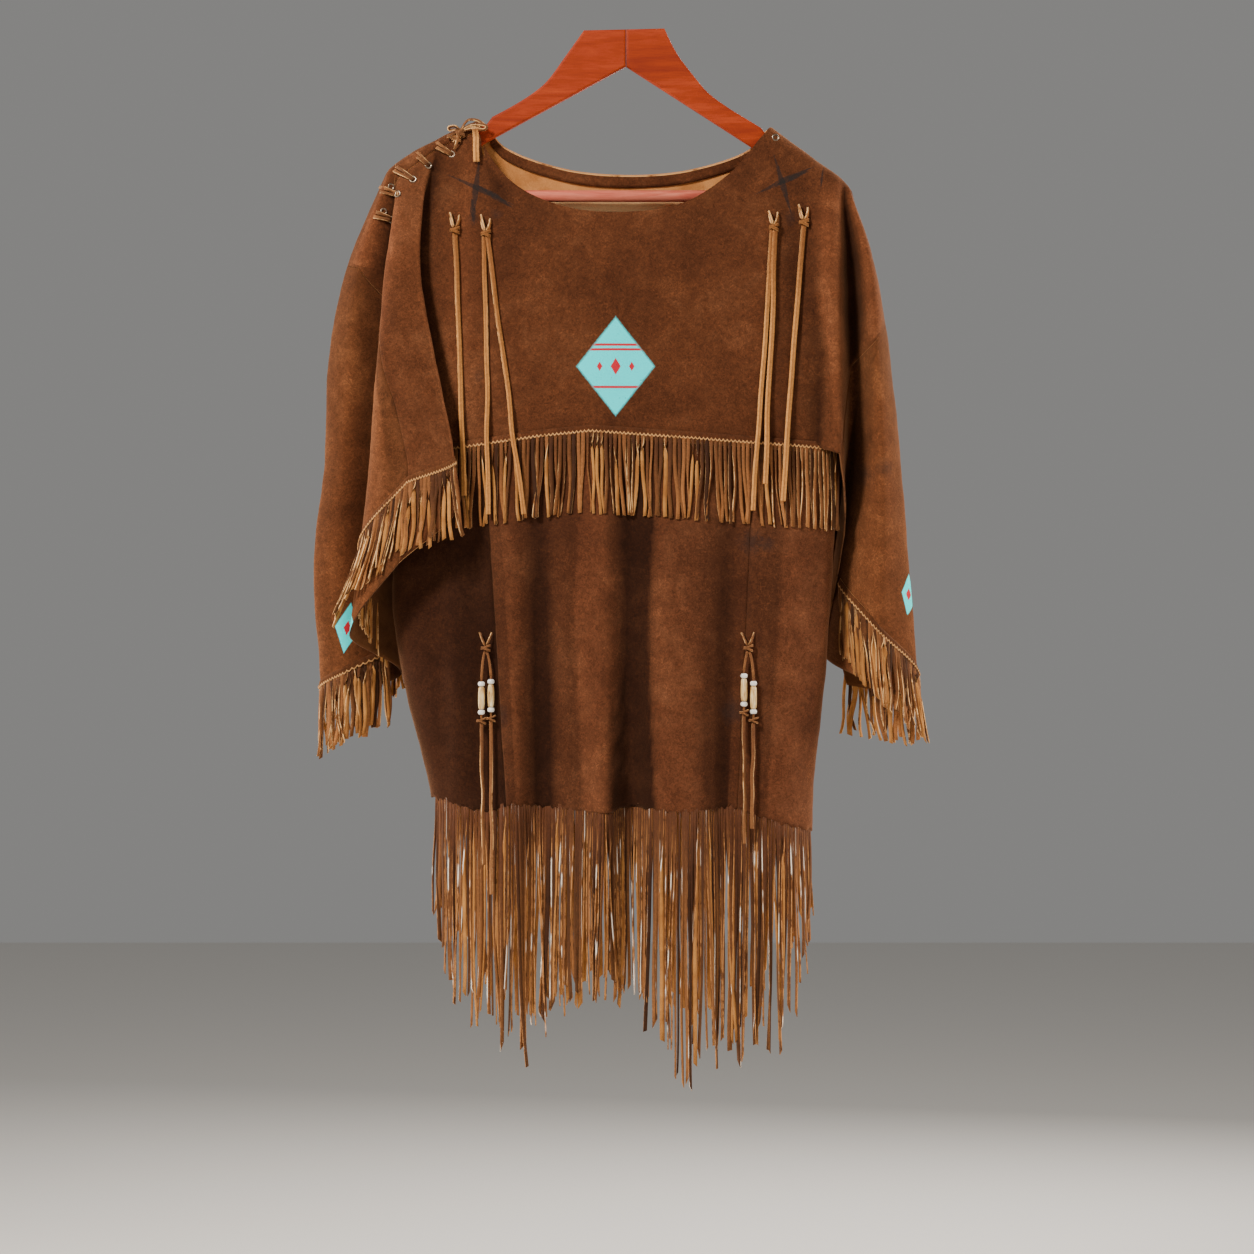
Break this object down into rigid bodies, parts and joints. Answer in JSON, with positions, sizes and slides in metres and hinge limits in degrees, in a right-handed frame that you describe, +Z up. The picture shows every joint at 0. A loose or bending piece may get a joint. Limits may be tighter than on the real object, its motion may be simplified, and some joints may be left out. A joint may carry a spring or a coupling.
{
  "type": "fringed suede dress on a wooden hanger",
  "caption": "Long suede dress with a cape top, open sleeves, laced shoulders and deep hem fringe, hung on a wooden hanger.",
  "frame": {"origin": "the middle of the hanger's top, where the missing hook would leave it", "axes": "+Z up, +X to the viewer's right, the garment's front faces -Y"},
  "size_m": [0.6559, 0.1615, 1.1375],
  "materials": {
    "suede_brown": "matt napped suede",
    "suede_fringe": "matt suede with pale cut edges",
    "leather_lace": "pale matt leather",
    "hanger_wood": "varnished reddish wood",
    "rail_wood": "pink painted wood, satin",
    "bone_bead": "striped bone, satin",
    "white_bead": "glossy white"
  },
  "bodies": {
    "root": {"hanger_arm_left": "hanger_wood", "hanger_arm_right": "hanger_wood", "trouser_rail": "rail_wood", "yoke_front": "suede_brown", "yoke_back": "suede_brown", "sleeve_left": "suede_brown", "sleeve_right": "suede_brown", "back_neck_facing": "suede_brown", "skirt_front": "suede_brown", "skirt_back": "suede_brown", "skirt_side_left": "suede_brown", "skirt_side_right": "suede_brown", "fringe_flap_left": "suede_fringe", "fringe_sleeve_left": "suede_fringe", "fringe_back_left": "suede_fringe", "fringe_sleeve_right": "suede_fringe", "fringe_back_right": "suede_fringe", "fringe_chest": "suede_fringe", "fringe_back": "suede_fringe", "fringe_hem_front": "suede_fringe", "fringe_hem_back": "suede_fringe", "thong_chest_1": "leather_lace", "thong_chest_2": "leather_lace", "thong_chest_3": "leather_lace", "thong_chest_4": "leather_lace", "lacing_left": "leather_lace", "lacing_end_left": "leather_lace", "tassel_left": "leather_lace", "tassel_right": "leather_lace", "tassel_left_hairpipe_1": "bone_bead", "tassel_left_hairpipe_2": "bone_bead", "tassel_left_bead_1": "white_bead", "tassel_left_bead_2": "white_bead", "tassel_left_bead_3": "white_bead", "tassel_left_bead_4": "white_bead", "tassel_right_hairpipe_1": "bone_bead", "tassel_right_hairpipe_2": "bone_bead", "tassel_right_bead_1": "white_bead", "tassel_right_bead_2": "white_bead", "tassel_right_bead_3": "white_bead", "tassel_right_bead_4": "white_bead"}
  },
  "joints": []
}
